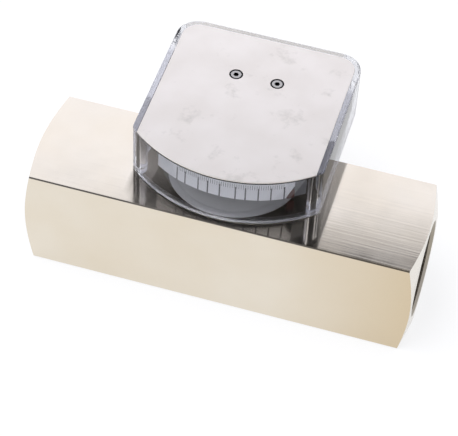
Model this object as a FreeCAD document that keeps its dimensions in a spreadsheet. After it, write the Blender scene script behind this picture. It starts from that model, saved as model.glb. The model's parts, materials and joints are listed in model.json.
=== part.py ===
import FreeCAD, Part
import math
import os
import re

import Sketcher

# Piston flow meter with a magnetically driven pointer.
# Frame: the origin is the middle of the bar's bottom face, X runs along the bar towards the inlet,
# Y towards the back of the indicator and Z up. All lengths are millimetres, all angles degrees.

SIZES = [
    # Square bar with a pipe port in each end
    ("body_length", 200),
    ("body_side", 60),
    ("edge_bevel", 0.6),
    ("end_face_diameter", 58.6),
    ("end_cone_angle", 15.5),
    ("port_core_diameter", 44.85),
    ("port_mouth_diameter", 49.5),
    ("port_depth", 24),
    ("bore_diameter", 40),
    ("throat_diameter", 34),
    ("throat_length", 10),
    # Fits
    ("fit_clearance", 0.05),
    ("run_clearance", 0.05),
    ("end_play", 0.3),
    # Measuring sleeve and the spiders at its ends
    ("sleeve_length", 102),
    ("orifice_diameter", 29.2),
    ("sleeve_outlet_diameter", 36),
    ("sleeve_inlet_diameter", 34),
    ("seal_section", 2),
    ("seal_inset", 5),
    ("seal_groove_width", 2.6),
    ("spider_width", 8),
    ("spider_ring_wall", 3),
    ("spider_hub_diameter", 12),
    ("spider_arm_width", 3),
    ("spider_arm_count", 3),
    # Retaining ring at the inlet end of the stack
    ("ring_thickness", 1.75),
    ("ring_groove_depth", 1.25),
    ("ring_width", 3.2),
    ("ring_opening", 9),
    ("ring_lug_diameter", 5),
    ("ring_lug_hole", 2),
    # Guide rod
    ("rod_diameter", 5),
    ("rod_nut_flats", 8),
    ("rod_nut_height", 4),
    ("rod_end", 1.5),
    ("rod_bevel", 0.6),
    ("stop_thickness", 1.8),
    # Piston
    ("seat_gap", 0.6),
    ("piston_rim", 5.5),
    ("nose_length", 8),
    ("piston_hub_diameter", 14),
    ("piston_nose_diameter", 11),
    ("piston_magnet_length", 12),
    ("piston_magnet_diameter", 25),
    ("magnet_nut_height", 3.5),
    ("magnet_nut_flats", 19),
    # Return spring
    ("spring_wire", 1),
    ("spring_mean_diameter", 9.6),
    ("spring_turns", 11),
    # Clear hood of the indicator and its lid
    ("hood_half_width", 48.25),
    ("hood_setback", 3),
    ("hood_back_reach", 33.3),
    ("hood_corner_radius", 12),
    ("hood_front_corner", 4),
    ("hood_height", 29.5),
    ("hood_edge_radius", 0.8),
    ("hood_foot_bevel", 0.4),
    ("hood_wall", 4),
    ("hood_floor", 3),
    ("hood_ceiling", 3),
    ("corner_post_diameter", 6),
    ("lid_rim", 3),
    ("lid_gap", 0.15),
    ("lid_thickness", 0.5),
    ("lid_bevel", 0.15),
    ("gasket_thickness", 0.2),
    ("gasket_inset", 0.2),
    # Socket screws of the lid, sunk in counterbores
    ("screw_spacing", 21.3),
    ("screw_setback", 1.2),
    ("screw_diameter", 3),
    ("screw_head_diameter", 5.2),
    ("screw_head_height", 2),
    ("screw_sink", 0.1),
    ("counterbore_diameter", 6.9),
    ("screw_socket_flats", 2.5),
    ("screw_socket_depth", 1.2),
    ("screw_length", 11),
    # Scale carrier and scale
    ("deck_height", 10),
    ("deck_thickness", 2),
    ("deck_margin", 2),
    ("deck_back_half_width", 17),
    ("deck_back_reach", 8),
    ("band_radius", 60.5),
    ("band_wall", 2),
    ("band_height", 11.3),
    ("band_left_angle", 33),
    ("band_right_angle", 40),
    ("window_lead", 1.4),
    ("window_angle", 4.1),
    ("window_rise", 7.9),
    ("strip_thickness", 0.5),
    ("scale_gap", 4),
    ("leg_setback", 1.4),
    ("leg_width", 7.5),
    ("leg_length", 14),
    ("leg_inset", 1.5),
    ("leg_disc_inset", 5.45),
    ("leg_screw_spacing", 7),
    ("post_diameter", 8),
    ("boss_diameter", 9),
    ("clip_room", 3.5),
    ("carrier_screw_head_height", 3),
    ("carrier_screw_grip", 8),
    # Damping disc on the bar's top
    ("disc_radius", 34),
    ("disc_gap", 0.5),
    ("disc_thickness", 0.8),
    ("disc_rim_width", 2.7),
    ("disc_rim_drop", 0.45),
    # Pointer on its shaft
    ("shaft_diameter", 2),
    ("bush_diameter", 5),
    ("bush_length", 4),
    ("clip_diameter", 4.6),
    ("clip_thickness", 0.6),
    ("pointer_rest_angle", 35.5),
    ("pointer_sweep", 66),
    ("hub_diameter", 8),
    ("hub_height", 5.7),
    ("arm_drop", 0.8),
    ("arm_thickness", 1.8),
    ("arm_root_width", 5.4),
    ("arm_tip_width", 3.2),
    ("follower_diameter", 8),
    ("follower_height", 4.2),
    ("follower_cup_diameter", 9.2),
    ("flag_setback", 6.2),
    ("flag_thickness", 1.2),
    ("flag_width", 3.7),
    ("flag_floor_gap", 0.5),
]

doc = FreeCAD.newDocument("flow_meter")
sheet = doc.addObject("Spreadsheet::Sheet", "Sheet")
for row, (alias, size) in enumerate(SIZES, start=1):
    sheet.set(f"A{row}", alias)
    sheet.set(f"B{row}", str(size))
    sheet.setAlias(f"B{row}", alias)
doc.recompute()

ALIASES = {alias for alias, size in SIZES}
pieces = []

# Places that several pieces share, written in the sheet's names
AXIS_HEIGHT = "body_side / 2"
SHOULDER = "(port_depth + throat_length - body_length / 2)"
SLEEVE_OUTLET = f"({SHOULDER} + spider_width)"
SLEEVE_INLET = f"({SLEEVE_OUTLET} + sleeve_length)"
RING_SEAT = f"({SLEEVE_INLET} + spider_width)"
PISTON_NOSE = f"({SLEEVE_INLET} - stop_thickness - end_play)"
RIM_X = f"({PISTON_NOSE} - nose_length)"
MAGNET_HALF = "(piston_magnet_length / 2)"
PISTON_X = f"({RIM_X} - piston_rim - {MAGNET_HALF})"
TAIL_X = f"({PISTON_X} - {MAGNET_HALF} - magnet_nut_height)"
ROD_RADIUS = "(rod_diameter / 2)"
BORE_FIT_RADIUS = "(bore_diameter / 2 - fit_clearance)"

# The indicator's places: the pointer's pivot from the bar's middle, the rest from that pivot
HOOD_RADIUS = "(band_radius + strip_thickness + scale_gap + hood_wall)"
PIVOT_Y = f"({HOOD_RADIUS} + hood_setback - body_side / 2)"
FOLLOWER_RADIUS = PIVOT_Y
FULL_SCALE_ANGLE = "(pointer_sweep - pointer_rest_angle)"
PISTON_TRAVEL = f"({FOLLOWER_RADIUS} * (sin(pointer_rest_angle) + sin({FULL_SCALE_ANGLE})))"
PIVOT_X = f"({PISTON_X} - {FOLLOWER_RADIUS} * sin(pointer_rest_angle))"
BAR_BACK = f"(body_side / 2 - {PIVOT_Y})"
LID_BOTTOM = "(hood_height - lid_thickness)"
GASKET_BOTTOM = f"({LID_BOTTOM} - gasket_thickness)"
CEILING = f"({GASKET_BOTTOM} - hood_ceiling)"
DECK_TOP = "(deck_height + deck_thickness)"
BOSS_TOP = f"({CEILING} - clip_room)"
ARM_TOP = "(deck_height - end_play - arm_drop)"
ARM_BOTTOM = f"({ARM_TOP} - arm_thickness)"
FLAG_RADIUS = "(band_radius - flag_setback)"
STRIP_RADIUS = "(band_radius + strip_thickness)"
WINDOW_END = "(pointer_rest_angle - window_lead)"
LEG_X = "(disc_radius - leg_disc_inset)"
DECK_SIDE = f"({LEG_X} + leg_width / 2 + deck_margin)"
LEG_BACK = f"({BAR_BACK} - leg_inset)"
LEG_FRONT = f"({LEG_BACK} - leg_length)"
LEG_MIDDLE = f"({LEG_FRONT} + leg_length / 2)"
SCREW_PLACES = [("-screw_spacing / 2", "screw_setback"), ("screw_spacing / 2", "screw_setback")]
SCREW_TOP = "(hood_height - screw_sink)"
SCREW_SEAT = f"({SCREW_TOP} - screw_head_height)"


def linked(expression):
    """Write the sheet's names in an expression as references to the sheet."""
    def reference(match):
        word = match.group(0)
        return f"Sheet.{word}" if word in ALIASES else word
    return re.sub(r"[a-z][a-z_]*", reference, expression)


def amount(expression):
    return float(sheet.evalExpression(linked(expression)))


def bind(thing, name, expression):
    thing.setExpression(name, linked(expression))


def new_body(label, x="0", y="0", z="0", turn=None):
    body = doc.addObject("PartDesign::Body", label)
    body.Label = label
    spin = FreeCAD.Rotation(FreeCAD.Vector(0, 0, 1), 1 if turn else 0)
    body.Placement = FreeCAD.Placement(FreeCAD.Vector(0, 0, 0), spin)
    for axis, place in zip("xyz", (x, y, z)):
        bind(body, f"Placement.Base.{axis}", place)
    if turn:
        bind(body, "Placement.Rotation.Angle", turn)
    pieces.append(body)
    return body


def flow_body(label):
    """A piece modelled about the flow axis, its own X axis."""
    return new_body(label, z=AXIS_HEIGHT)


def indicator_body(label, turn=None):
    """A piece modelled about the pointer's pivot, from the bar's top upwards."""
    return new_body(label, PIVOT_X, PIVOT_Y, "body_side", turn)


def new_sketch(body, plane, offset="0"):
    sketch = body.newObject("Sketcher::SketchObject", f"{body.Label}_sketch")
    origin = [feature for feature in body.Origin.OriginFeatures if feature.Role == plane][0]
    sketch.AttachmentSupport = [(origin, "")]
    sketch.MapMode = "FlatFace"
    if offset != "0":
        bind(sketch, "AttachmentOffset.Base.z", offset)
    return sketch


def fix(sketch, kind, references, expression):
    """Add one dimension and tie it to the sheet."""
    index = sketch.addConstraint(Sketcher.Constraint(kind, *references, amount(expression)))
    name = f"size_{index}"
    sketch.renameConstraint(index, name)
    bind(sketch, f"Constraints.{name}", expression)


def fix_point(sketch, geometry, position, x, y):
    for kind, axis, expression in (("DistanceX", -2, x), ("DistanceY", -1, y)):
        if expression == "0":
            sketch.addConstraint(Sketcher.Constraint("PointOnObject", geometry, position, axis))
        else:
            fix(sketch, kind, (-1, 1, geometry, position), expression)


def circle(sketch, x, y, radius):
    center = FreeCAD.Vector(amount(x), amount(y), 0)
    shape = Part.Circle(center, FreeCAD.Vector(0, 0, 1), amount(radius))
    index = sketch.addGeometry(shape, False)
    fix_point(sketch, index, 3, x, y)
    fix(sketch, "Radius", (index,), radius)


def outline(sketch, corners):
    """Closed outline, anticlockwise. A corner with a third entry starts an arc of that radius."""
    points = [FreeCAD.Vector(amount(corner[0]), amount(corner[1]), 0) for corner in corners]
    first = sketch.GeometryCount
    for index, corner in enumerate(corners):
        start = points[index]
        end = points[(index + 1) % len(points)]
        if len(corner) == 3:
            radius = amount(corner[2])
            chord = end - start
            rise = math.sqrt(max(radius * radius - chord.Length ** 2 / 4, 0))
            left = FreeCAD.Vector(-chord.y, chord.x, 0).normalize()
            center = (start + end) * 0.5 + left * rise
            angles = [math.atan2(point.y - center.y, point.x - center.x) for point in (start, end)]
            rim = Part.Circle(center, FreeCAD.Vector(0, 0, 1), radius)
            sketch.addGeometry(Part.ArcOfCircle(rim, angles[0], angles[1]), False)
        else:
            sketch.addGeometry(Part.LineSegment(start, end), False)
    for index, corner in enumerate(corners):
        here = first + index
        after = first + (index + 1) % len(corners)
        sketch.addConstraint(Sketcher.Constraint("Coincident", here, 2, after, 1))
    for index, corner in enumerate(corners):
        fix_point(sketch, first + index, 1, corner[0], corner[1])
        if len(corner) == 3:
            fix(sketch, "Radius", (first + index,), corner[2])


def rectangle(sketch, left, right, low, high):
    outline(sketch, [(left, low), (right, low), (right, high), (left, high)])


def hexagon(sketch, flats, x="0", y="0"):
    """A regular hexagon about a place, turned so that no corner lies on an axis."""
    corner = f"({flats} / sqrt(3))"
    turns = range(15, 375, 60)
    outline(sketch, [(f"{x} + {corner} * cos({turn})", f"{y} + {corner} * sin({turn})") for turn in turns])


def feature(body, kind, sketch):
    made = body.newObject(f"PartDesign::{kind}", f"{body.Label}_{kind.lower()}")
    made.Profile = sketch
    sketch.Visibility = False
    return made


def pad(body, sketch, length, backwards=False):
    made = feature(body, "Pad", sketch)
    bind(made, "Length", length)
    made.Reversed = backwards
    return made


def pocket(body, sketch, length, backwards=False):
    """Cut into the body, downwards from the sketch unless backwards."""
    before = solid_volume(body)
    made = feature(body, "Pocket", sketch)
    bind(made, "Length", length)
    made.Reversed = backwards
    check_cut(body, before)
    return made


def revolve(body, sketch, axis="H_Axis"):
    made = feature(body, "Revolution", sketch)
    made.ReferenceAxis = (sketch, [axis])
    made.Angle = 360
    return made


def groove(body, sketch, axis="H_Axis"):
    before = solid_volume(body)
    made = feature(body, "Groove", sketch)
    made.ReferenceAxis = (sketch, [axis])
    made.Angle = 360
    check_cut(body, before)
    return made


def dress(body, kind, size_name, size, wanted):
    """Round or bevel the edges of the body that a test picks out."""
    doc.recompute()
    base = body.Tip
    edges = [f"Edge{index}" for index, edge in enumerate(base.Shape.Edges, start=1) if wanted(edge)]
    made = body.newObject(f"PartDesign::{kind}", f"{body.Label}_{kind.lower()}")
    made.Base = (base, edges)
    bind(made, size_name, size)


def is_front_corner(edge):
    """An upright edge in front of the pivot."""
    box = edge.BoundBox
    return box.ZLength > box.XLength + box.YLength and box.YMax < 0


def is_top_edge(edge):
    """An edge in the top plane of the hood and the lid."""
    return edge.BoundBox.ZMin > amount("hood_height - lid_gap")


def is_foot_edge(edge):
    """An edge in the plane of the bar's top."""
    return edge.BoundBox.ZMax < amount("lid_gap")


def is_lid_rim(edge):
    """An edge of the lid's outline, and not of its screw holes."""
    return is_top_edge(edge) and not edge.isClosed()


def solid_volume(body):
    doc.recompute()
    return body.Shape.Volume


def check_cut(body, before):
    doc.recompute()
    if body.Shape.Volume >= before:
        raise RuntimeError(f"a cut in {body.Label} removed nothing")


def turned(label, profile):
    """A turned piece about the flow axis, from a profile of lengths along it and radii."""
    body = flow_body(label)
    sketch = new_sketch(body, "XZ_Plane")
    outline(sketch, profile)
    revolve(body, sketch)
    return body


def make_meter_body():
    body = flow_body("meter_body")
    half = "(body_side / 2)"
    flat = "(body_side / 2 - edge_bevel)"
    section = new_sketch(body, "YZ_Plane", "-body_length / 2")
    outline(section, [
        (f"-{flat}", f"-{half}"), (flat, f"-{half}"), (half, f"-{flat}"), (half, flat),
        (flat, half), (f"-{flat}", half), (f"-{half}", flat), (f"-{half}", f"-{flat}"),
    ])
    pad(body, section, "body_length")

    end = "(body_length / 2)"
    lead = "((port_mouth_diameter - port_core_diameter) / 2)"
    core = "(port_core_diameter / 2)"
    mouth = "(port_mouth_diameter / 2)"
    bore = "(bore_diameter / 2)"
    throat = "(throat_diameter / 2)"
    ring = f"({bore} + ring_groove_depth)"
    ring_end = f"({RING_SEAT} + ring_thickness + 2 * fit_clearance)"
    passage = new_sketch(body, "XZ_Plane")
    outline(passage, [
        (f"-{end}", "0"), (end, "0"), (end, mouth), (f"{end} - {lead}", core),
        (f"{end} - port_depth", core), (f"{end} - port_depth", bore),
        (ring_end, bore), (ring_end, ring), (RING_SEAT, ring), (RING_SEAT, bore),
        (SHOULDER, bore), (SHOULDER, throat), (f"port_depth - {end}", throat),
        (f"port_depth - {end}", core), (f"{lead} - {end}", core), (f"-{end}", mouth),
    ])
    groove(body, passage)

    face = "(end_face_diameter / 2)"
    corner = "(body_side / sqrt(2))"
    run = f"(({corner} - {face}) * tan(end_cone_angle))"
    for side in ("", "-"):
        cone = new_sketch(body, "XZ_Plane")
        tip = [(f"{side}{end}", face), (f"{side}({end} - {run})", corner), (f"{side}{end}", corner)]
        outline(cone, tip if side else tip[::-1])
        groove(body, cone)

    for x, y in leg_screw_places():
        hole = new_sketch(body, "XY_Plane", half)
        circle(hole, f"{x} + {PIVOT_X}", f"{y} + {PIVOT_Y}", "screw_diameter / 2 + fit_clearance")
        pocket(body, hole, "carrier_screw_grip + end_play")


def leg_screw_places():
    """The four carrier screws, from the pivot."""
    places = []
    for side in ("-", ""):
        for step in ("-", "+"):
            places.append((f"{side}{LEG_X}", f"({LEG_MIDDLE} {step} leg_screw_spacing / 2)"))
    return places


def make_sleeve():
    orifice = "(orifice_diameter / 2)"
    throat = f"({RIM_X} - piston_rim / 2)"
    wide = "(sleeve_outlet_diameter / 2)"
    taper_end = f"({throat} - {PISTON_TRAVEL} - piston_rim)"
    body = turned("measuring_sleeve", [
        (SLEEVE_OUTLET, wide), (taper_end, wide), (throat, orifice), (RIM_X, orifice),
        (SLEEVE_INLET, "sleeve_inlet_diameter / 2"), (SLEEVE_INLET, BORE_FIT_RADIUS),
        (SLEEVE_OUTLET, BORE_FIT_RADIUS),
    ])
    middle = f"({SLEEVE_INLET} - seal_inset)"
    channel = new_sketch(body, "XZ_Plane")
    rectangle(channel, f"{middle} - seal_groove_width / 2", f"{middle} + seal_groove_width / 2",
              "bore_diameter / 2 - seal_section - fit_clearance", "bore_diameter / 2")
    groove(body, channel)

    seal = flow_body("sleeve_seal")
    section = new_sketch(seal, "XZ_Plane")
    circle(section, middle, "bore_diameter / 2 - seal_section / 2", "seal_section / 2 - fit_clearance")
    revolve(seal, section)


def make_spider(label, start):
    ring = f"({BORE_FIT_RADIUS} - spider_ring_wall)"
    body = turned(label, [
        (start, ring), (f"{start} + spider_width", ring),
        (f"{start} + spider_width", BORE_FIT_RADIUS), (start, BORE_FIT_RADIUS),
    ])
    arm = new_sketch(body, "YZ_Plane", start)
    half = "(spider_arm_width / 2)"
    rectangle(arm, f"-{half}", half, ROD_RADIUS, f"{ring} + spider_ring_wall / 2")
    spoke = pad(body, arm, "spider_width")
    spokes = body.newObject("PartDesign::PolarPattern", f"{label}_spokes")
    spokes.Originals = [spoke]
    spokes.Axis = (arm, ["N_Axis"])
    spokes.Angle = 360
    bind(spokes, "Occurrences", "spider_arm_count")
    body.Tip = spokes
    hub = new_sketch(body, "YZ_Plane", start)
    circle(hub, "0", "0", "spider_hub_diameter / 2")
    pad(body, hub, "spider_width")
    hole = new_sketch(body, "YZ_Plane", start)
    circle(hole, "0", "0", f"{ROD_RADIUS} + fit_clearance")
    pocket(body, hole, "spider_width", backwards=True)


def make_retaining_ring():
    body = flow_body("retaining_ring")
    outer = "(bore_diameter / 2 + ring_groove_depth - fit_clearance)"
    inner = f"({outer} - ring_width)"
    start = f"({RING_SEAT} + fit_clearance)"
    band = new_sketch(body, "YZ_Plane", start)
    circle(band, "0", "0", outer)
    circle(band, "0", "0", inner)
    pad(body, band, "ring_thickness")
    opening = new_sketch(body, "YZ_Plane", start)
    rectangle(opening, "-ring_opening / 2", "ring_opening / 2", "0", f"{outer} + ring_groove_depth")
    pocket(body, opening, "ring_thickness", backwards=True)
    for side in ("-", ""):
        x = f"{side}(ring_opening / 2 + ring_lug_diameter / 2)"
        y = f"({inner} - ring_lug_hole / 2)"
        lug = new_sketch(body, "YZ_Plane", start)
        circle(lug, x, y, "ring_lug_diameter / 2")
        pad(body, lug, "ring_thickness")
        eye = new_sketch(body, "YZ_Plane", start)
        circle(eye, x, y, "ring_lug_hole / 2")
        pocket(body, eye, "ring_thickness", backwards=True)


def make_guide_rod():
    nut_end = "(rod_nut_height + rod_end)"
    turned("guide_rod", [
        (f"{SHOULDER} - {nut_end}", "0"), (f"{RING_SEAT} + {nut_end}", "0"),
        (f"{RING_SEAT} + {nut_end}", f"{ROD_RADIUS} - rod_bevel"),
        (f"{RING_SEAT} + {nut_end} - rod_bevel", ROD_RADIUS),
        (f"{SHOULDER} - {nut_end} + rod_bevel", ROD_RADIUS),
        (f"{SHOULDER} - {nut_end}", f"{ROD_RADIUS} - rod_bevel"),
    ])
    nuts = flow_body("rod_nuts")
    for seat, backwards in ((RING_SEAT, False), (SHOULDER, True)):
        blank = new_sketch(nuts, "YZ_Plane", seat)
        hexagon(blank, "rod_nut_flats")
        circle(blank, "0", "0", f"{ROD_RADIUS} + fit_clearance")
        pad(nuts, blank, "rod_nut_height", backwards)
    bore = f"({ROD_RADIUS} + fit_clearance)"
    rim = "(spider_hub_diameter / 2)"
    turned("stop_ring", [
        (f"{SLEEVE_INLET} - stop_thickness", bore), (SLEEVE_INLET, bore),
        (SLEEVE_INLET, rim), (f"{SLEEVE_INLET} - stop_thickness", rim),
    ])


def make_piston():
    bore = f"({ROD_RADIUS} + run_clearance)"
    rim = "(orifice_diameter / 2 - seat_gap)"
    hub = "(piston_hub_diameter / 2)"
    back = f"({PISTON_X} + {MAGNET_HALF})"
    front = f"({PISTON_X} - {MAGNET_HALF})"
    turned("piston", [
        (TAIL_X, bore), (PISTON_NOSE, bore), (PISTON_NOSE, "piston_nose_diameter / 2"), (RIM_X, rim),
        (back, rim), (back, hub), (TAIL_X, hub),
    ])
    eye = f"({hub} + fit_clearance)"
    turned("piston_magnet", [
        (front, eye), (back, eye), (back, "piston_magnet_diameter / 2"),
        (front, "piston_magnet_diameter / 2"),
    ])
    nut = flow_body("magnet_nut")
    blank = new_sketch(nut, "YZ_Plane", TAIL_X)
    hexagon(blank, "magnet_nut_flats")
    circle(blank, "0", "0", eye)
    pad(nut, blank, "magnet_nut_height")


def make_return_spring():
    body = flow_body("return_spring")
    seat = f"({SLEEVE_OUTLET} + end_play + spring_wire / 2)"
    wire = new_sketch(body, "XZ_Plane")
    circle(wire, seat, "spring_mean_diameter / 2", "spring_wire / 2")
    coil = feature(body, "AdditiveHelix", wire)
    coil.ReferenceAxis = (wire, ["H_Axis"])
    coil.Mode = "height-turns-angle"
    bind(coil, "Height", f"{TAIL_X} - {SLEEVE_OUTLET} - 2 * end_play - spring_wire")
    bind(coil, "Turns", "spring_turns")


def front_corner(half, radius):
    """How far in front of the pivot an arc of that radius meets the straight sides."""
    return f"(-sqrt({radius} ^ 2 - {half} ^ 2))"


def d_outline(half, radius, back, corner):
    """The indicator's D: a front arc about the pivot, straight sides and rounded back corners."""
    front = front_corner(half, radius)
    return [
        (f"-{half}", front, radius), (half, front), (half, f"{back} - {corner}", corner),
        (f"{half} - {corner}", back), (f"{corner} - {half}", back, corner),
        (f"-{half}", f"{back} - {corner}"),
    ]


def make_hood():
    body = indicator_body("clear_hood")
    shell = new_sketch(body, "XY_Plane")
    outline(shell, d_outline("hood_half_width", HOOD_RADIUS, "hood_back_reach", "hood_corner_radius"))
    pad(body, shell, "hood_height")
    dress(body, "Fillet", "Radius", "hood_front_corner", is_front_corner)
    dress(body, "Fillet", "Radius", "hood_edge_radius", is_top_edge)
    dress(body, "Chamfer", "Size", "hood_foot_bevel", is_foot_edge)

    half = "(hood_half_width - hood_wall)"
    radius = f"({HOOD_RADIUS} - hood_wall)"
    cavity = new_sketch(body, "XY_Plane")
    outline(cavity, d_outline(half, radius, "(hood_back_reach - hood_wall)",
                              "(hood_corner_radius - hood_wall)"))
    pocket(body, cavity, CEILING, backwards=True)

    floor = new_sketch(body, "XY_Plane")
    side = "(hood_half_width - hood_wall / 2)"
    back = "(hood_back_reach - hood_wall / 2)"
    corner = "(hood_corner_radius - hood_wall / 2)"
    edge = f"({BAR_BACK} + lid_gap)"
    outline(floor, [
        (f"-{side}", edge), (side, edge), (side, f"{back} - {corner}", corner), (f"{side} - {corner}", back),
        (f"{corner} - {side}", back, corner), (f"-{side}", f"{back} - {corner}"),
    ])
    pad(body, floor, "hood_floor")

    post_x = f"({half} - corner_post_diameter / 4)"
    post_back = "(hood_back_reach - hood_corner_radius)"
    for x in (f"-{post_x}", post_x):
        for y in (front_corner(half, radius), post_back):
            post = new_sketch(body, "XY_Plane")
            circle(post, x, y, "corner_post_diameter / 2")
            pad(body, post, f"{CEILING} + hood_ceiling / 2")

    recess = new_sketch(body, "XY_Plane", "hood_height")
    outline(recess, d_outline("(hood_half_width - lid_rim)", f"({HOOD_RADIUS} + lid_rim)",
                              "(hood_back_reach - lid_rim)", "(hood_corner_radius - lid_rim)"))
    pocket(body, recess, "lid_thickness + gasket_thickness")
    screw_ways(body, GASKET_BOTTOM, "counterbore_diameter / 2", f"{GASKET_BOTTOM} - {SCREW_SEAT}")
    screw_ways(body, SCREW_SEAT, "screw_diameter / 2 + fit_clearance", f"{SCREW_SEAT} - {CEILING}")


def screw_ways(body, top, radius, depth):
    """The two holes for the lid's screws."""
    for x, y in SCREW_PLACES:
        hole = new_sketch(body, "XY_Plane", top)
        circle(hole, x, y, radius)
        pocket(body, hole, depth)


def lid_outline(inset):
    """The lid's D, set back from the hood's rim and front by an inset."""
    rim = f"(lid_rim + {inset})"
    return d_outline(f"(hood_half_width - {rim})", f"({HOOD_RADIUS} - {inset})",
                     f"(hood_back_reach - {rim})", f"(hood_corner_radius - {rim})")


def make_lid():
    body = indicator_body("lid_plate")
    plate = new_sketch(body, "XY_Plane", LID_BOTTOM)
    outline(plate, lid_outline("lid_gap"))
    pad(body, plate, "lid_thickness")
    screw_ways(body, "hood_height", "counterbore_diameter / 2", "lid_thickness")
    dress(body, "Chamfer", "Size", "lid_bevel", is_lid_rim)

    gasket = indicator_body("lid_gasket")
    sheet_shape = new_sketch(gasket, "XY_Plane", GASKET_BOTTOM)
    outline(sheet_shape, lid_outline("(lid_gap + gasket_inset)"))
    pad(gasket, sheet_shape, "gasket_thickness")
    screw_ways(gasket, LID_BOTTOM, "counterbore_diameter / 2", "gasket_thickness")

    screws = indicator_body("lid_screws")
    for x, y in SCREW_PLACES:
        head = new_sketch(screws, "XY_Plane", SCREW_TOP)
        circle(head, x, y, "screw_head_diameter / 2")
        pad(screws, head, "screw_head_height", backwards=True)
        shank = new_sketch(screws, "XY_Plane", SCREW_TOP)
        circle(shank, x, y, "screw_diameter / 2")
        pad(screws, shank, "screw_head_height + screw_length", backwards=True)
        socket = new_sketch(screws, "XY_Plane", SCREW_TOP)
        hexagon(socket, "screw_socket_flats", x, y)
        pocket(screws, socket, "screw_socket_depth")


def make_carrier():
    body = indicator_body("scale_carrier")
    waist = f"({LEG_FRONT} - leg_setback)"
    deck = new_sketch(body, "XY_Plane", "deck_height")
    outline(deck, [
        *band_ends("band_radius", "band_right_angle"), (f"-{waist} * tan(band_right_angle)", waist),
        (DECK_SIDE, waist), (DECK_SIDE, LEG_BACK), ("deck_back_half_width", "deck_back_reach"),
        ("-deck_back_half_width", "deck_back_reach"), (f"-{DECK_SIDE}", LEG_BACK), (f"-{DECK_SIDE}", waist),
        (f"{waist} * tan(band_left_angle)", waist),
    ])
    pad(body, deck, "deck_thickness")

    wall = new_sketch(body, "XY_Plane", "deck_height")
    outline(wall, [*band_ends("band_radius", "band_right_angle"), ("0", "0")])
    pad(body, wall, "band_height")
    hollow = new_sketch(body, "XY_Plane", "deck_height + band_height")
    circle(hollow, "0", "0", "band_radius - band_wall")
    pocket(body, hollow, "band_height - deck_thickness")

    for side in ("-", ""):
        leg = new_sketch(body, "XY_Plane", "disc_thickness")
        middle = f"{side}{LEG_X}"
        rectangle(leg, f"{middle} - leg_width / 2", f"{middle} + leg_width / 2", LEG_FRONT, LEG_BACK)
        pad(body, leg, "deck_height - disc_thickness")
    for x, y in SCREW_PLACES:
        post = new_sketch(body, "XY_Plane", "deck_height")
        circle(post, x, y, "post_diameter / 2")
        pad(body, post, f"{CEILING} - deck_height")
    boss = new_sketch(body, "XY_Plane", "deck_height")
    circle(boss, "0", "0", "boss_diameter / 2")
    pad(body, boss, f"{BOSS_TOP} - deck_height")

    screw_ways(body, CEILING, "screw_diameter / 2 + fit_clearance", "screw_length")
    for x, y in leg_screw_places():
        hole = new_sketch(body, "XY_Plane", DECK_TOP)
        circle(hole, x, y, "screw_diameter / 2 + fit_clearance")
        pocket(body, hole, DECK_TOP)
    shaft_way = new_sketch(body, "XY_Plane", BOSS_TOP)
    circle(shaft_way, "0", "0", "(shaft_diameter + bush_diameter) / 4")
    pocket(body, shaft_way, BOSS_TOP)
    for top in (BOSS_TOP, "deck_height + bush_length"):
        seat = new_sketch(body, "XY_Plane", top)
        circle(seat, "0", "0", "bush_diameter / 2 + fit_clearance")
        pocket(body, seat, "bush_length")
    cut_window(body)

    strip = indicator_body("scale_strip")
    face = new_sketch(strip, "XY_Plane", "deck_height")
    outline(face, [*band_ends(STRIP_RADIUS, WINDOW_END), ("0", "0")])
    pad(strip, face, "band_height")
    back = new_sketch(strip, "XY_Plane", "deck_height + band_height")
    circle(back, "0", "0", "band_radius")
    pocket(strip, back, "band_height")
    cut_window(strip)

    screws = indicator_body("carrier_screws")
    for x, y in leg_screw_places():
        head = new_sketch(screws, "XY_Plane", DECK_TOP)
        circle(head, x, y, "screw_head_diameter / 2")
        pad(screws, head, "carrier_screw_head_height")
        shank = new_sketch(screws, "XY_Plane", DECK_TOP)
        circle(shank, x, y, "screw_diameter / 2")
        pad(screws, shank, f"{DECK_TOP} + carrier_screw_grip", backwards=True)


def band_ends(radius, right_angle):
    """The front arc of the scale's band: its left end, which starts the arc, and its right end."""
    left = (f"(-{radius} * sin(band_left_angle))", f"(-{radius} * cos(band_left_angle))", radius)
    right = (f"({radius} * sin({right_angle}))", f"(-{radius} * cos({right_angle}))")
    return [left, right]


def cut_window(body):
    """The sloping window in the band's lower edge, through which the resting pointer shows."""
    left = f"({STRIP_RADIUS} * sin({WINDOW_END} - window_angle))"
    right = f"({STRIP_RADIUS} * sin({WINDOW_END}))"
    window = new_sketch(body, "XZ_Plane", STRIP_RADIUS)
    outline(window, [(left, "deck_height"), (right, "deck_height"), (right, "deck_height + window_rise")])
    depth = f"({STRIP_RADIUS} * (1 - cos({WINDOW_END})) + 2 * (strip_thickness + band_wall))"
    pocket(body, window, depth)


def make_damping_disc():
    middle = f"(hood_wall + disc_gap + disc_radius - {HOOD_RADIUS})"
    body = new_body("damping_disc", PIVOT_X, f"{PIVOT_Y} + {middle}", "body_side")
    section = new_sketch(body, "XZ_Plane")
    outline(section, [
        ("0", "0"), ("disc_radius", "0"), ("disc_radius", "disc_thickness - disc_rim_drop"),
        ("disc_radius - disc_rim_width", "disc_thickness"), ("0", "disc_thickness"),
    ])
    revolve(body, section, "V_Axis")
    back = new_sketch(body, "XY_Plane", "disc_thickness")
    edge = f"({BAR_BACK} - end_play - {middle})"
    rectangle(back, "-2 * disc_radius", "2 * disc_radius", edge, f"{edge} + 2 * disc_radius")
    pocket(body, back, "disc_thickness")
    for x, y in leg_screw_places():
        hole = new_sketch(body, "XY_Plane", "disc_thickness")
        circle(hole, x, f"{y} - {middle}", "screw_diameter / 2 + fit_clearance")
        pocket(body, hole, "disc_thickness")


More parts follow.
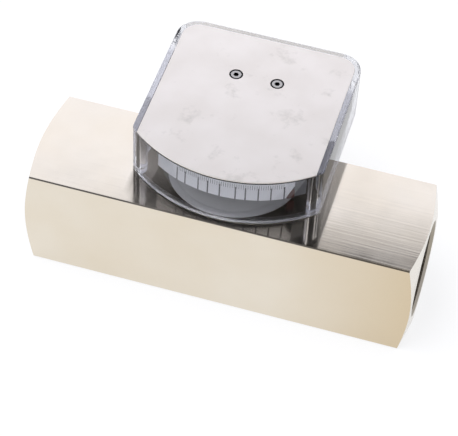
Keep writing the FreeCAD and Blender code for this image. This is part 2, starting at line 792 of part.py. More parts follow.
def upright(label, low, high, outer, inner=None, turn=None):
    """A round piece about the pointer's shaft."""
    body = indicator_body(label, turn)
    section = new_sketch(body, "XY_Plane", low)
    circle(section, "0", "0", outer)
    if inner:
        circle(section, "0", "0", inner)
    pad(body, section, f"{high} - ({low})")
    return body


def make_pointer():
    rest = "pointer_rest_angle"
    shaft = "(shaft_diameter / 2)"
    hub_bottom = "(deck_height - end_play - hub_height)"
    clip_bottom = f"({BOSS_TOP} + end_play)"
    upright("pivot_shaft", hub_bottom, f"{BOSS_TOP} + clip_room - end_play", shaft, turn=rest)
    upright("shaft_clip", clip_bottom, f"{clip_bottom} + clip_thickness", "clip_diameter / 2",
            f"{shaft} + fit_clearance", turn=rest)

    bushes = indicator_body("pivot_bushes")
    for low in ("deck_height", f"({BOSS_TOP} - bush_length)"):
        section = new_sketch(bushes, "XY_Plane", low)
        circle(section, "0", "0", "bush_diameter / 2")
        circle(section, "0", "0", f"{shaft} + run_clearance")
        pad(bushes, section, "bush_length")

    lever = upright("pointer_lever", hub_bottom, "deck_height - end_play", "hub_diameter / 2", turn=rest)
    arm = new_sketch(lever, "XY_Plane", ARM_BOTTOM)
    outline(arm, [
        ("-arm_root_width / 2", "0"), ("-arm_tip_width / 2", f"-{FLAG_RADIUS}"),
        ("arm_tip_width / 2", f"-{FLAG_RADIUS}"), ("arm_root_width / 2", "0"),
    ])
    pad(lever, arm, "arm_thickness")
    cup = new_sketch(lever, "XY_Plane", ARM_BOTTOM)
    circle(cup, "0", f"-{FOLLOWER_RADIUS}", "follower_cup_diameter / 2")
    pad(lever, cup, "arm_thickness")
    bore = new_sketch(lever, "XY_Plane", "deck_height")
    circle(bore, "0", "0", f"{shaft} + fit_clearance")
    pocket(lever, bore, "deck_height")

    magnet = indicator_body("follower_magnet", rest)
    section = new_sketch(magnet, "XY_Plane", ARM_BOTTOM)
    circle(section, "0", f"-{FOLLOWER_RADIUS}", "follower_diameter / 2")
    pad(magnet, section, "follower_height", backwards=True)

    flag = indicator_body("pointer_flag", rest)
    floor = "(disc_thickness + flag_floor_gap)"
    plate = new_sketch(flag, "XY_Plane", floor)
    inner = f"flag_thickness - {FLAG_RADIUS}"
    rectangle(plate, "-flag_width / 2", "flag_width / 2", f"-{FLAG_RADIUS}", inner)
    pad(flag, plate, f"{ARM_BOTTOM} - {floor}")


def check_and_write():
    doc.recompute()
    for thing in doc.Objects:
        bad = [state for state in thing.State if state in ("Invalid", "Error")]
        if bad:
            raise RuntimeError(f"{thing.Label}: {thing.State}")
    for body in pieces:
        if body.Shape.isNull() or not body.Shape.isValid() or not body.Shape.Solids:
            raise RuntimeError(f"{body.Label}: no valid solid")
    os.makedirs("parts", exist_ok=True)
    for body in pieces:
        body.Shape.exportStep(f"parts/{body.Label}.step")
        print(body.Label, len(body.Shape.Solids), round(body.Shape.Volume, 1))


make_meter_body()
make_sleeve()
make_spider("inlet_spider", SLEEVE_INLET)
make_spider("outlet_spider", SHOULDER)
make_retaining_ring()
make_guide_rod()
make_piston()
make_return_spring()
make_hood()
make_lid()
make_carrier()
make_damping_disc()
make_pointer()
check_and_write()
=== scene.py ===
import functools
import json
import math

import bmesh
import bpy
from mathutils import Matrix, Vector

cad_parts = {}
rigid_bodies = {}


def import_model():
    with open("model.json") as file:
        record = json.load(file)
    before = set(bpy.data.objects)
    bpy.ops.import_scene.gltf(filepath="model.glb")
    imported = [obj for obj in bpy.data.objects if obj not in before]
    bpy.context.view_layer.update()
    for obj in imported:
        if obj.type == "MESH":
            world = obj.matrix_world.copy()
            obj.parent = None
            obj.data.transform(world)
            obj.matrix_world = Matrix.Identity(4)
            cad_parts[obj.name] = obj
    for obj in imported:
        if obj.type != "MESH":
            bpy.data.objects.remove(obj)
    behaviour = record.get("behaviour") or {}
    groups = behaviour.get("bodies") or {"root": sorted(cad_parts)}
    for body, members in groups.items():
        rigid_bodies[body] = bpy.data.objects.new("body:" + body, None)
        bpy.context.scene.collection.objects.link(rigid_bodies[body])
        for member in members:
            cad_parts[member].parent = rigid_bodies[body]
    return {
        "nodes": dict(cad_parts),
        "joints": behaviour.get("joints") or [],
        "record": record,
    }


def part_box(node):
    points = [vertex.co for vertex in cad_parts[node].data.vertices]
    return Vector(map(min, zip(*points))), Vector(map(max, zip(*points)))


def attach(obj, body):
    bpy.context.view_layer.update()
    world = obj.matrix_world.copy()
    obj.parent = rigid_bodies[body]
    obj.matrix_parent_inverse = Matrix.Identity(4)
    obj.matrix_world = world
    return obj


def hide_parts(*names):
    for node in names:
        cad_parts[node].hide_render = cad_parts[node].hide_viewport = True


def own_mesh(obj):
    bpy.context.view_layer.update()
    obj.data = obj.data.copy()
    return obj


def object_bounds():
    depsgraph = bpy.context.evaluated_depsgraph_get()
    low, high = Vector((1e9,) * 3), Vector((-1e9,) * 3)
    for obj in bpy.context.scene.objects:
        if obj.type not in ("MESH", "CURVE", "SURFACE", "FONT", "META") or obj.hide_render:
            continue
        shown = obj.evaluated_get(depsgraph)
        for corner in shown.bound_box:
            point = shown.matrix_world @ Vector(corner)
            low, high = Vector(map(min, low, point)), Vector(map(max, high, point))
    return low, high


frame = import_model()
cad_low, cad_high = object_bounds()
nodes = frame["nodes"]
mounts = {mount["name"]: mount for mount in frame["record"]["mounts"]}
joints = {joint["name"]: joint for joint in frame["joints"]}

MM = 0.001

# Places taken from the frame
FLOW_HEIGHT = mounts["inlet_port"]["pos_m"][2]
FLOW_AXIS = Vector((0, 0, FLOW_HEIGHT))
PORT_RADIUS = mounts["inlet_port"]["dims"]["r_mm"] * MM
PIVOT = Vector((*joints["pointer_swing"]["pos_m"][:2], 0))
SCALE_RADIUS = PIVOT.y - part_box("scale_strip")[0].y
HOOD_LOW, HOOD_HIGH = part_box("clear_hood")

# Photograph's camera, fitted to the bar's corners
PHOTO_WIDTH = 458
FOCAL_PIXELS = 1913.3
SENSOR_WIDTH = 36.0
CAMERA_AZIMUTH = math.radians(14.148)
CAMERA_ELEVATION = math.radians(48.613)
CAMERA_ROLL = math.radians(3.233)
CAMERA_TARGET = Vector((0, 0, 30)) * MM
CAMERA_PLACE = Vector((-1.141, 1.364, 968.93)) * MM

# Pipe thread G 1 1/2 in each port
THREAD_PITCH = 2.309 * MM
THREAD_MAJOR_RADIUS = 23.9 * MM
THREAD_RUN = 18 * MM
THREAD_STEPS = 72
THREAD_OVERLAP = 0.2 * MM

# Marks on the scale, as angles from the middle of the front, in degrees
TICK_ANGLES = (-21.0, -16.6, -9.9, -5.3, 0.3, 7.5, 12.0, 17.75, 23.4, 29.4)
TICK_WIDTH = 0.65 * MM
TICK_HEIGHT = 8.3 * MM
MINOR_STEP = 1.0
MINOR_WIDTH = 0.18 * MM
MINOR_LOW = 7.2 * MM
MINOR_HIGH = 10.2 * MM
INK_THICKNESS = 0.04 * MM

# Sunk screws of the lid
SCREW_HEAD_RADIUS = 2.6 * MM
COUNTERBORE_RADIUS = 3.45 * MM

# Lift of the clear hood's flat faces, which leaves air over the bar and closes the gap under the gasket
CONTACT_LIFT = 0.06 * MM

# Depth of the hood's walls, with a little to spare
HOOD_WALL = 5 * MM

# Place along the bar where the tarnish of its front begins
TARNISH_START = 30 * MM

# Part of the bar where the painted shade under the hood gets lighter
LIGHTER_START = 14 * MM
LIGHTER_END = 36 * MM

# Floor, and the share of it that shows plain white beside the share that takes shadows
FLOOR_HALF_WIDTH = 6.0
FLOOR_DROP = 0.2 * MM
FLOOR_WHITE_SHARE = 0.75

# Soft box overhead
KEY_PLACE = Vector((-0.3, -0.3, 1.6))
KEY_SIZE = 1.0
KEY_POWER = 17

# Soft borders in the studio, as heights above the horizon in degrees
LOW_WALL = (15, 42)
WALL_TOP = (46.3, 50.5)
RING_EDGE = (48.8, 49.3)
CEILING_EDGE = (54, 63)
GAP_FOOT = (33, 38)
GAP_TOP = (52, 60)
SCREEN_FOOT = (34, 42)
SCREEN_TOP = (52, 58)

# Soft borders in the studio, as cosines of the angle from a direction
GAP_SIDES = (0.25, 0.42)
SCREEN_LEFT = (-0.03, 0.06)
SCREEN_RIGHT = (0.28, 0.42)
SCREEN_BACK = (0.2, 0.4)

# Share of the light that the dark parts of the studio take away
GAP_DARKNESS = 0.89
SCREEN_DARKNESS = 0.52


class Nodes:
    """The nodes of one material or world, made and linked by short calls."""

    def __init__(self, tree):
        self.tree = tree

    def feed(self, socket, value):
        """Link an output to a socket, or set a plain value."""
        if isinstance(value, bpy.types.NodeSocket):
            self.tree.links.new(value, socket)
        else:
            socket.default_value = value

    def add(self, kind, **inputs):
        """A new node; inputs are given by name, with spaces as underscores."""
        node = self.tree.nodes.new(f"ShaderNode{kind}")
        for name, value in inputs.items():
            self.feed(node.inputs[name.replace("_", " ")], value)
        return node

    def math(self, operation, *values):
        """A sum on one or two numbers."""
        node = self.tree.nodes.new("ShaderNodeMath")
        node.operation = operation
        for socket, value in zip(node.inputs, values):
            self.feed(socket, value)
        return node.outputs["Value"]

    def length(self, x, y):
        """The length of a flat vector."""
        node = self.add("VectorMath", Vector=self.add("CombineXYZ", X=x, Y=y).outputs["Vector"])
        node.operation = "LENGTH"
        return node.outputs["Value"]

    def spread(self, source, low, high, start=0.3, end=0.7, smooth=False):
        """The source's range from start to end, spread from low to high."""
        made = self.add("MapRange", Value=source, From_Min=start, From_Max=end, To_Min=low, To_Max=high)
        if smooth:
            made.interpolation_type = "SMOOTHSTEP"
        return made.outputs["Result"]

    def between(self, factor, first, second):
        """A colour between two colours."""
        mix = self.tree.nodes.new("ShaderNodeMix")
        mix.data_type = "RGBA"
        self.feed(mix.inputs["Factor"], factor)
        for socket, colour in zip(mix.inputs[6:8], (first, second)):
            self.feed(socket, (*colour, 1) if isinstance(colour, tuple) else colour)
        return mix.outputs[2]

    def blend(self, factor, first, second):
        """Show one shader, or another where the factor is one."""
        mix = self.add("MixShader", Fac=factor)
        self.feed(mix.inputs[1], first)
        self.feed(mix.inputs[2], second)
        self.feed(self.tree.nodes["Material Output"].inputs["Surface"], mix.outputs["Shader"])


class Surface(Nodes):
    """A procedural material under construction: one Principled shader and the nodes that drive it."""

    def __init__(self, name, colour, metallic=0.0, roughness=0.5):
        self.material = bpy.data.materials.new(name)
        self.material.use_nodes = True
        super().__init__(self.material.node_tree)
        self.shader = self.tree.nodes["Principled BSDF"]
        self.set("Base Color", (*colour, 1))
        self.set("Metallic", metallic)
        self.set("Roughness", roughness)

    def set(self, name, value):
        self.shader.inputs[name].default_value = value

    def drive(self, name, source):
        self.tree.links.new(source, self.shader.inputs[name])

    def place(self, stretch=(1, 1, 1)):
        """The object's own coordinates in metres, stretched."""
        where = self.add("TexCoord").outputs["Object"]
        return self.add("Mapping", Vector=where, Scale=stretch).outputs["Vector"]

    def axes(self):
        """The object's own coordinates, one by one."""
        return self.add("SeparateXYZ", Vector=self.place()).outputs

    def noise(self, scale, detail=3.0, stretch=(1, 1, 1), roughness=0.5, where=None):
        """Noise with so many lumps in a metre, between about 0.25 and 0.75."""
        where = where or self.place(stretch)
        made = self.add("TexNoise", Vector=where, Scale=scale, Detail=detail, Roughness=roughness)
        return made.outputs[0]

    def bump(self, height, strength, depth):
        made = self.add("Bump", Height=height, Strength=strength, Distance=depth)
        self.drive("Normal", made.outputs["Normal"])


def flow_radius(look):
    """Distance from the flow axis as a place along X, for marks that a lathe leaves."""
    axes = look.axes()
    radius = look.length(axes["Y"], look.math("SUBTRACT", axes["Z"], FLOW_HEIGHT))
    return look.add("CombineXYZ", X=radius).outputs["Vector"]


def front_stain(look):
    """How far the front is tarnished: more and more towards the inlet end, and not at all on the top."""
    axes = look.axes()
    along = look.spread(axes["X"], 0, 1, TARNISH_START, cad_high.x)
    front = look.spread(axes["Y"], 1, 0, cad_low.y + 0.1 * MM, cad_low.y + 1.5 * MM)
    return look.math("MULTIPLY", along, front)


def before_hood(look, start, end, inset):
    """A patch of the bar's top under the hood, set in from its sides and fading out before its front."""
    axes = look.axes()
    top = look.spread(axes["Z"], 0, 1, HOOD_LOW.z - 0.3 * MM, HOOD_LOW.z)
    x = look.math("SUBTRACT", axes["X"], PIVOT.x)
    y = look.math("SUBTRACT", axes["Y"], PIVOT.y)
    side = HOOD_HIGH.x - PIVOT.x - inset
    across = look.spread(look.math("ABSOLUTE", x), 1, 0, side - 3 * MM, side)
    reach = PIVOT.y - HOOD_LOW.y
    before = look.spread(look.length(x, y), 1, 0, reach + start, reach + end)
    return look.math("MULTIPLY", top, look.math("MULTIPLY", across, before))


def plated_flat():
    """Polished nickel plate with fine lines along the bar, faint stains, a tarnished inlet end, and
    painted shade on the top under and just before the hood.
    """
    look = Surface("plated_flat", (0.75, 0.69, 0.58), metallic=1.0)
    stain = look.spread(look.noise(22, 5), 0, 1)
    clean = look.between(stain, (0.735, 0.660, 0.540), (0.765, 0.705, 0.605))
    tarnished = look.between(front_stain(look), clean, (0.64, 0.53, 0.37))
    # Painted shade: the top under and just before the hood is darkened for the hood's dark reflection,
    # darkest away from the inlet end.
    painted_hood_shade = before_hood(look, 2 * MM, 13 * MM, 0)
    inlet_side = look.spread(look.axes()["X"], 0, 1, LIGHTER_START, LIGHTER_END)
    painted_shade_colour = look.between(inlet_side, (0.28, 0.25, 0.21), (0.58, 0.52, 0.42))
    look.drive("Base Color", look.between(painted_hood_shade, tarnished, painted_shade_colour))
    lines = look.noise(1, 3, (9, 750, 750), 0.65)
    polish = look.spread(look.noise(60, 3), 0.05, 0.10)
    top_patch = before_hood(look, 30 * MM, 40 * MM, 4 * MM)
    look.drive("Roughness", look.math("ADD", polish, look.math("MULTIPLY", top_patch, 0.05)))
    look.drive("Anisotropic", look.math("MULTIPLY", top_patch, 0.9))
    around = look.add("Tangent")
    around.axis = "X"
    look.drive("Tangent", around.outputs["Tangent"])
    look.bump(lines, 0.42, 0.014 * MM)
    return look.material


def plated_turned():
    """The same plate on turned faces, with rings about the flow axis."""
    look = Surface("plated_turned", (0.8, 0.75, 0.67), metallic=1.0)
    rings = look.noise(2400, 3, where=flow_radius(look))
    stain = look.noise(60, 3)
    look.drive("Base Color", look.between(stain, (0.745, 0.705, 0.635), (0.805, 0.775, 0.72)))
    look.drive("Roughness", look.spread(stain, 0.22, 0.32))
    look.bump(rings, 0.3, 0.02 * MM)
    return look.material


def machined_bore():
    """Bare cut metal inside the ports, with darker and duller patches at random."""
    look = Surface("machined_bore", (0.35, 0.31, 0.25), metallic=1.0)
    grime = look.noise(140, 5)
    look.drive("Base Color", look.between(grime, (0.27, 0.24, 0.19), (0.42, 0.38, 0.31)))
    look.drive("Roughness", look.spread(grime, 0.3, 0.45))
    fine = look.noise(1800, 2, (3, 1, 1))
    look.bump(fine, 0.15, 0.01 * MM)
    return look.material


def screw_distance(look):
    """Distance from the axis of the nearer lid screw."""
    low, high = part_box("lid_screws")
    middle = (low + high) / 2
    half_spacing = (high.x - low.x) / 2 - SCREW_HEAD_RADIUS
    axes = look.axes()
    side = look.math("ABSOLUTE", look.math("SUBTRACT", axes["X"], middle.x))
    x = look.math("SUBTRACT", side, half_spacing)
    y = look.math("SUBTRACT", axes["Y"], middle.y)
    return look.length(x, y)


def brushed_lid():
    """Satin sheet metal with short scratches and finger smudges, and painted shade, near black, in the
    counterbores round the screws.
    """
    look = Surface("brushed_lid", (0.80, 0.77, 0.74), metallic=1.0)
    cloud = look.spread(look.noise(55, 4), 0, 1)
    clean = look.between(cloud, (0.878, 0.818, 0.74), (0.918, 0.862, 0.789))
    smudge = look.spread(look.noise(75, 6, roughness=0.65), 0, 0.7, 0.58, 0.74)
    worn = look.between(smudge, clean, (0.64, 0.60, 0.53))
    # Painted shade: the lid is near black inside the counterbores, where the gap round each screw head
    # lies in shade.
    edge = COUNTERBORE_RADIUS
    counterbore_shade = look.spread(screw_distance(look), 1, 0, edge + 0.02 * MM, edge + 0.08 * MM)
    look.drive("Base Color", look.between(counterbore_shade, worn, (0.03, 0.03, 0.03)))
    look.drive("Roughness", look.spread(cloud, 0.32, 0.30))
    lines = look.noise(1, 4, (1800, 30, 1800), 0.7)
    look.bump(lines, 0.2, 0.01 * MM)
    return look.material


def steel(name="bright_steel", colour=(0.62, 0.62, 0.63), rough=(0.22, 0.34)):
    """Turned or drawn steel."""
    look = Surface(name, colour, metallic=1.0)
    cloud = look.noise(220, 4)
    darker = tuple(0.86 * part for part in colour)
    look.drive("Base Color", look.between(cloud, darker, colour))
    look.drive("Roughness", look.spread(cloud, *rough))
    look.bump(look.noise(2600, 2), 0.12, 0.01 * MM)
    return look.material


def screw_with_painted_shade():
    """Steel, bright on the top of the head, with painted shade, near black, below it on the head's sides
    and in its socket.
    """
    look = Surface("screw_with_painted_shade", (0.5, 0.5, 0.5), metallic=1.0)
    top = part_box("lid_screws")[1].z
    top_patch = look.spread(look.axes()["Z"], 0, 1, top - 0.06 * MM, top - 0.02 * MM)
    cloud = look.noise(400, 4)
    bright = look.between(cloud, (0.50, 0.48, 0.45), (0.62, 0.60, 0.57))
    # Painted shade: everything below the head's top is near black, for the shaded socket and the gap
    # round the head.
    look.drive("Base Color", look.between(top_patch, (0.02, 0.02, 0.02), bright))
    look.drive("Roughness", look.spread(cloud, 0.28, 0.4))
    return look.material


def turned_brass():
    look = Surface("turned_brass", (0.72, 0.54, 0.26), metallic=1.0)
    cloud = look.noise(160, 4)
    look.drive("Base Color", look.between(cloud, (0.62, 0.45, 0.20), (0.78, 0.60, 0.31)))
    look.drive("Roughness", look.spread(cloud, 0.2, 0.34))
    look.bump(look.noise(1, 2, (2400, 90, 90)), 0.2, 0.02 * MM)
    return look.material


def sintered_magnet():
    look = Surface("sintered_magnet", (0.10, 0.10, 0.105), metallic=0.4)
    grain = look.noise(900, 4)
    look.drive("Base Color", look.between(grain, (0.06, 0.06, 0.065), (0.14, 0.14, 0.145)))
    look.drive("Roughness", look.spread(grain, 0.45, 0.62))
    look.bump(grain, 0.3, 0.03 * MM)
    return look.material


def moulded(name, dark, light, rough=(0.42, 0.58), grain_strength=0.2):
    """Moulded plastic or rubber with a fine grain."""
    look = Surface(name, light)
    cloud = look.noise(120, 4)
    look.drive("Base Color", look.between(cloud, dark, light))
    look.drive("Roughness", look.spread(cloud, *rough))
    look.bump(look.noise(2200, 3), grain_strength, 0.02 * MM)
    return look.material


def satin_disc():
    look = Surface("satin_disc", (0.60, 0.60, 0.60), metallic=0.6)
    cloud = look.noise(90, 4)
    look.drive("Base Color", look.between(cloud, (0.52, 0.52, 0.52), (0.64, 0.64, 0.64)))
    look.drive("Roughness", look.spread(cloud, 0.5, 0.62))
    look.bump(look.noise(1800, 3), 0.15, 0.01 * MM)
    return look.material


def clear_plastic(name, clearness, rough):
    """Moulded plastic, with a little waviness in its faces. Lamps shine through it."""
    look = Surface(name, (0.83, 0.835, 0.865))
    look.set("IOR", 1.49)
    look.set("Transmission Weight", clearness)
    haze = look.noise(90, 3)
    look.drive("Roughness", look.spread(haze, *rough))
    look.bump(look.noise(45, 2), 0.06, 0.05 * MM)
    path = look.add("LightPath")
    through = look.add("BsdfTransparent", Color=(0.9, 0.9, 0.92, 1))
    look.blend(path.outputs["Is Shadow Ray"], look.shader.outputs["BSDF"], through.outputs["BSDF"])
    return look


def frosted_foot():
    """The hood's matt foot, greyer under its sides and clearer under its back."""
    look = clear_plastic("frosted_plastic", 0.5, (0.35, 0.5))
    back = HOOD_HIGH.y
    behind = look.spread(look.axes()["Y"], 0, 1, back - 12 * MM, back - 5 * MM)
    look.drive("Base Color", look.between(behind, (0.58, 0.58, 0.64), (0.95, 0.95, 0.96)))
    look.drive("Transmission Weight", look.spread(behind, 0.5, 0.85, 0, 1))
    return look.material


def piece(name, mesh, body, slot, *materials):
    """A new object that rides on a body."""
    made = bpy.data.objects.new(name, mesh)
    bpy.context.scene.collection.objects.link(made)
    for material in materials:
        mesh.materials.append(material)
    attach(made, body)
    return made


def welded_copy(node, name):
    """A copy of a CAD node's mesh with its seams closed, without its materials and stored normals."""
    mesh = nodes[node].data.copy()
    mesh.name = name
    mesh.materials.clear()
    stored = mesh.attributes.get("custom_normal")
    if stored:
        mesh.attributes.remove(stored)
    work = bmesh.new()
    work.from_mesh(mesh)
    bmesh.ops.remove_doubles(work, verts=work.verts, dist=0.001 * MM)
    work.to_mesh(mesh)
    work.free()
    return mesh


def shade(mesh, angle=30):
    """Smooth shading that breaks at edges sharper than an angle in degrees."""
    mesh.shade_smooth()
    mesh.set_sharp_from_angle(angle=math.radians(angle))


def thread_cutter(name, port):
    """The groove of a pipe thread, as a closed mesh that starts outside the port's mouth."""
    way = mounts[port]["axis"][0]
    mouth = cad_high.x + THREAD_PITCH
    crest = PORT_RADIUS - THREAD_OVERLAP
    root = THREAD_MAJOR_RADIUS
    profile = [(-0.46, crest), (-0.06, root), (0.06, root), (0.46, crest)]
    turns = (THREAD_RUN + THREAD_PITCH) / THREAD_PITCH
    steps = round(turns * THREAD_STEPS)
    work = bmesh.new()
    sections = []
    for step in range(steps + 1):
        angle = math.tau * step / THREAD_STEPS
        x = mouth - THREAD_PITCH * step / THREAD_STEPS
        section = []
        for along, radius in profile:
            place = Vector((
                way * (x + along * THREAD_PITCH),
                way * radius * math.cos(angle),
                radius * math.sin(angle),
            ))
            section.append(work.verts.new(place + FLOW_AXIS))
        sections.append(section)
    for one, two in zip(sections, sections[1:]):
        for index in range(len(profile)):
            after = (index + 1) % len(profile)
            work.faces.new((one[index], one[after], two[after], two[index]))
    work.faces.new(sections[0])
    work.faces.new(sections[-1])
    bmesh.ops.recalc_face_normals(work, faces=work.faces)
    mesh = bpy.data.meshes.new(name)
    work.to_mesh(mesh)
    work.free()
    return mesh


def cut(mesh, cutters):
    """The mesh with other meshes cut out of it."""
    scene = bpy.context.scene.collection.objects
    target = bpy.data.objects.new("target", mesh)
    scene.link(target)
    tools = []
    for cutter in cutters:
        tool = bpy.data.objects.new(cutter.name, cutter)
        scene.link(tool)
        tools.append(tool)
        change = target.modifiers.new(cutter.name, "BOOLEAN")
        change.operation = "DIFFERENCE"
        change.solver = "EXACT"
        change.object = tool
    bpy.context.view_layer.update()
    graph = bpy.context.evaluated_depsgraph_get()
    result = bpy.data.meshes.new_from_object(target.evaluated_get(graph))
    for thing in (target, *tools):
        bpy.data.objects.remove(thing)
    return result


def make_bar():
    """The bar with its pipe threads cut, plated outside and bare in the ports."""
    threads = [thread_cutter(f"{port}_thread", port) for port in ("inlet_port", "outlet_port")]
    mesh = cut(welded_copy("meter_body", "bar"), threads)
    mesh.materials.clear()
    shade(mesh)
    bar = piece("bar", mesh, "base", "plated_brass", plated_flat(), plated_turned(), machined_bore())
    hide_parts("meter_body")
    for face in mesh.polygons:
        offset = face.center - FLOW_AXIS
        radius = math.hypot(offset.y, offset.z)
        if radius < PORT_RADIUS + 2 * MM and abs(face.normal.x) < 0.99:
            face.material_index = 2
        elif abs(face.normal.x) > 0.05:
            face.material_index = 1
        else:
            face.material_index = 0


def make_hood():
    """The clear hood on its frosted foot, with a film of air under it and its ceiling on the gasket."""
    mesh = welded_copy("clear_hood", "hood")
    foot = HOOD_LOW.z
    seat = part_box("lid_gasket")[0].z
    for vertex in mesh.vertices:
        if min(abs(vertex.co.z - foot), abs(vertex.co.z - seat)) < 0.01 * MM:
            vertex.co.z += CONTACT_LIFT
    shade(mesh)
    polished = clear_plastic("clear_plastic", 1.0, (0.0, 0.03)).material
    satin = clear_plastic("satin_plastic", 1.0, (0.35, 0.5)).material
    hood = piece("hood", mesh, "base", "clear_plastic", polished, satin, frosted_foot())
    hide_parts("clear_hood")
    front_wall = PIVOT.y - HOOD_LOW.y - HOOD_WALL
    for face in mesh.polygons:
        if face.center.z < foot + 1 * MM and face.normal.z < -0.5:
            from_pivot = (face.center - PIVOT).to_2d().length
            face.material_index = 1 if from_pivot > front_wall else 2
        else:
            face.material_index = 0


def make_spring():
    """The return spring, as a smooth-shaded copy of its CAD node on the base, in spring steel."""
    mesh = welded_copy("return_spring", "spring")
    shade(mesh)
    spring = piece("spring", mesh, "base", "stainless", steel("spring_steel", (0.58, 0.57, 0.56)))
    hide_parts("return_spring")
    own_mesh(spring)


def ink_mark(work, angle, width, low, high):
    """One printed line on the scale, bent to its face."""
    turn = math.radians(angle)
    half = width / 2
    corners = []
    for radius in (SCALE_RADIUS - INK_THICKNESS, SCALE_RADIUS + INK_THICKNESS):
        for side in (-half, half):
            for height in (low, high):
                x = radius * math.sin(turn) + side * math.cos(turn)
                y = -radius * math.cos(turn) + side * math.sin(turn)
                corners.append(work.verts.new(PIVOT + Vector((x, y, height))))
    for face in ((0, 1, 3, 2), (4, 6, 7, 5), (0, 4, 5, 1), (2, 3, 7, 6), (1, 5, 7, 3), (0, 2, 6, 4)):
        work.faces.new([corners[index] for index in face])


def make_scale_marks():
    """Long ticks up from the scale's lower edge and a row of short ones above them."""
    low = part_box("scale_strip")[0].z
    work = bmesh.new()
    for angle in TICK_ANGLES:
        ink_mark(work, angle, TICK_WIDTH, low, low + TICK_HEIGHT)
    minor = TICK_ANGLES[0]
    while minor < TICK_ANGLES[-1]:
        ink_mark(work, minor, MINOR_WIDTH, low + MINOR_LOW, low + MINOR_HIGH)
        minor += MINOR_STEP
    bmesh.ops.recalc_face_normals(work, faces=work.faces)
    mesh = bpy.data.meshes.new("scale_marks")
    work.to_mesh(mesh)
    work.free()
    ink = moulded("ink", (0.02, 0.02, 0.022), (0.045, 0.045, 0.05), (0.5, 0.6), 0.05)
    piece("scale_marks", mesh, "base", "pointer_black", ink)


def dress_nodes():
    """Give each CAD node that stays its finish."""
    bright = steel()
    brass = turned_brass()
    magnet = sintered_magnet()
    rubber = moulded("rubber", (0.025, 0.025, 0.025), (0.05, 0.05, 0.05), (0.55, 0.7))
    finishes = {
        "lid_plate": brushed_lid(),
        "lid_screws": screw_with_painted_shade(),
        "scale_carrier": moulded("carrier_plastic", (0.14, 0.14, 0.14), (0.20, 0.20, 0.20)),
        "scale_strip": moulded("scale_white", (0.86, 0.86, 0.86), (0.91, 0.91, 0.90), (0.4, 0.5), 0.05),
        "pointer_lever": moulded("pointer_black", (0.015, 0.015, 0.015), (0.03, 0.03, 0.03)),
        # Painted shade: the flag's red is darkened for the shade it stands in under the lid.
        "pointer_flag": moulded("pointer_red", (0.07, 0.006, 0.005), (0.10, 0.009, 0.007)),
        "damping_disc": satin_disc(),
        "sleeve_seal": rubber,
        # Painted shade: the gasket's dark grey stands in for the shade under the lid's edge.
        "lid_gasket": moulded("gasket_painted_shade", (0.10, 0.10, 0.10), (0.15, 0.15, 0.15), (0.5, 0.6), 0.05),
        "stop_ring": rubber,
        "piston_magnet": magnet,
        "follower_magnet": magnet,
    }
    for name in ("measuring_sleeve", "inlet_spider", "outlet_spider", "pivot_bushes"):
        finishes[name] = brass
    for name, node in nodes.items():
        node.data.materials.clear()
        node.data.materials.append(finishes.get(name, bright))


def make_floor():
    """A pale floor that takes the shadow and shows white where the light falls on it."""
    work = bmesh.new()
    bmesh.ops.create_grid(work, x_segments=8, y_segments=8, size=FLOOR_HALF_WIDTH)
    mesh = bpy.data.meshes.new("floor")
    work.to_mesh(mesh)
    work.free()
    floor = bpy.data.objects.new("floor", mesh)
    floor.location.z = -FLOOR_DROP
    bpy.context.scene.collection.objects.link(floor)
    look = Surface("floor", (0.93, 0.93, 0.93), roughness=0.9)
    path = look.add("LightPath")
    shown = look.math("MAXIMUM", path.outputs["Is Camera Ray"], path.outputs["Is Glossy Ray"])
    seen = look.math("MAXIMUM", shown, path.outputs["Is Transmission Ray"])
    share = look.math("MULTIPLY", seen, FLOOR_WHITE_SHARE)
    white = look.add("Emission", Color=(1, 1, 1, 1), Strength=1.0)
    look.blend(share, look.shader.outputs["BSDF"], white.outputs["Emission"])
    mesh.materials.append(look.material)


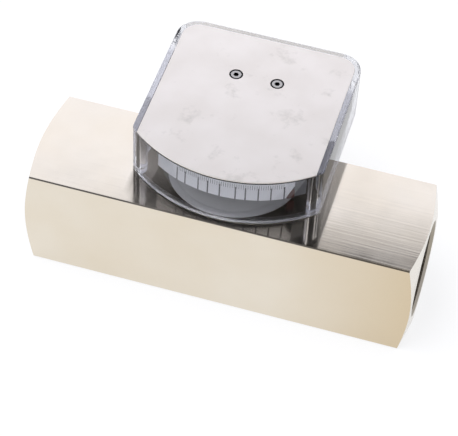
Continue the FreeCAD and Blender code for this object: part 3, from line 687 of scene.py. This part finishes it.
def make_world():
    """White studio with a dark ring under its ceiling, a dark gap in front and a dim screen behind."""
    world = bpy.data.worlds.new("studio")
    world.use_nodes = True
    bpy.context.scene.world = world
    room = Nodes(world.node_tree)
    where = room.add("TexCoord").outputs["Generated"]

    def facing(direction, border, low, high):
        """A level that changes with the angle from a direction, given by its cosine."""
        dot = room.tree.nodes.new("ShaderNodeVectorMath")
        dot.operation = "DOT_PRODUCT"
        room.feed(dot.inputs[0], where)
        room.feed(dot.inputs[1], Vector(direction).normalized())
        return room.spread(dot.outputs["Value"], low, high, *border, smooth=True)

    def height(border, low, high):
        """A level that changes with the height above the horizon, in degrees."""
        return facing((0, 0, 1), [math.sin(math.radians(angle)) for angle in border], low, high)

    def times(*levels):
        """The product of several levels."""
        return functools.reduce(lambda one, two: room.math("MULTIPLY", one, two), levels)

    def without(darkness):
        """What a dark part leaves of the light."""
        return room.math("SUBTRACT", 1.0, darkness)

    walls = times(height(LOW_WALL, 0.75, 1.0), height(WALL_TOP, 1.29, 0.92), height(RING_EDGE, 1.0, 0.18))
    gap_height = times(height(GAP_FOOT, 0, GAP_DARKNESS), height(GAP_TOP, 1, 0))
    gap = times(facing((0.15, -1, 0), GAP_SIDES, 0, 1), gap_height)
    screen_sides = times(
        facing((1, 0, 0), SCREEN_LEFT, 0, SCREEN_DARKNESS),
        facing((1, 0, 0), SCREEN_RIGHT, 1, 0),
        facing((0, 1, 0), SCREEN_BACK, 0, 1),
    )
    screen = times(screen_sides, height(SCREEN_FOOT, 0, 1), height(SCREEN_TOP, 1, 0))
    light = room.math("ADD", times(walls, without(gap), without(screen)), height(CEILING_EDGE, 0, 0.5))
    seen = room.add("LightPath").outputs["Is Camera Ray"]
    sky = room.tree.nodes["Background"]
    room.feed(sky.inputs["Color"], room.between(seen, (0.98, 1.0, 1.115), (1, 1, 1)))
    room.feed(sky.inputs["Strength"], room.math("MAXIMUM", light, seen))


def make_lamp():
    """A soft box that points at the object and isn't mirrored in it."""
    data = bpy.data.lights.new("key", "AREA")
    data.shape = "SQUARE"
    data.size = KEY_SIZE
    data.energy = KEY_POWER
    lamp = bpy.data.objects.new("key", data)
    lamp.location = KEY_PLACE
    lamp.rotation_euler = (CAMERA_TARGET - KEY_PLACE).to_track_quat("-Z", "Y").to_euler()
    lamp.visible_glossy = False
    bpy.context.scene.collection.objects.link(lamp)


def camera_axes():
    """The camera's right, up and backward directions."""
    back = Vector((
        math.sin(CAMERA_AZIMUTH) * math.cos(CAMERA_ELEVATION),
        -math.cos(CAMERA_AZIMUTH) * math.cos(CAMERA_ELEVATION),
        math.sin(CAMERA_ELEVATION),
    ))
    right = Vector((math.cos(CAMERA_AZIMUTH), math.sin(CAMERA_AZIMUTH), 0))
    up = back.cross(right)
    cosine, sine = math.cos(CAMERA_ROLL), math.sin(CAMERA_ROLL)
    return cosine * right + sine * up, cosine * up - sine * right, back


def make_camera():
    axes = camera_axes()
    data = bpy.data.cameras.new("camera")
    data.sensor_width = SENSOR_WIDTH
    data.lens = FOCAL_PIXELS * SENSOR_WIDTH / PHOTO_WIDTH
    data.clip_start = 0.01
    data.clip_end = 50
    camera = bpy.data.objects.new("camera", data)
    turn = Matrix(axes).transposed()
    camera.matrix_world = Matrix.Translation(CAMERA_TARGET + turn @ CAMERA_PLACE) @ turn.to_4x4()
    bpy.context.scene.collection.objects.link(camera)
    bpy.context.scene.camera = camera


bpy.context.scene.view_settings.view_transform = "Standard"
make_camera()
make_world()
make_lamp()
make_floor()
dress_nodes()
make_bar()
make_hood()
make_spring()
make_scale_marks()
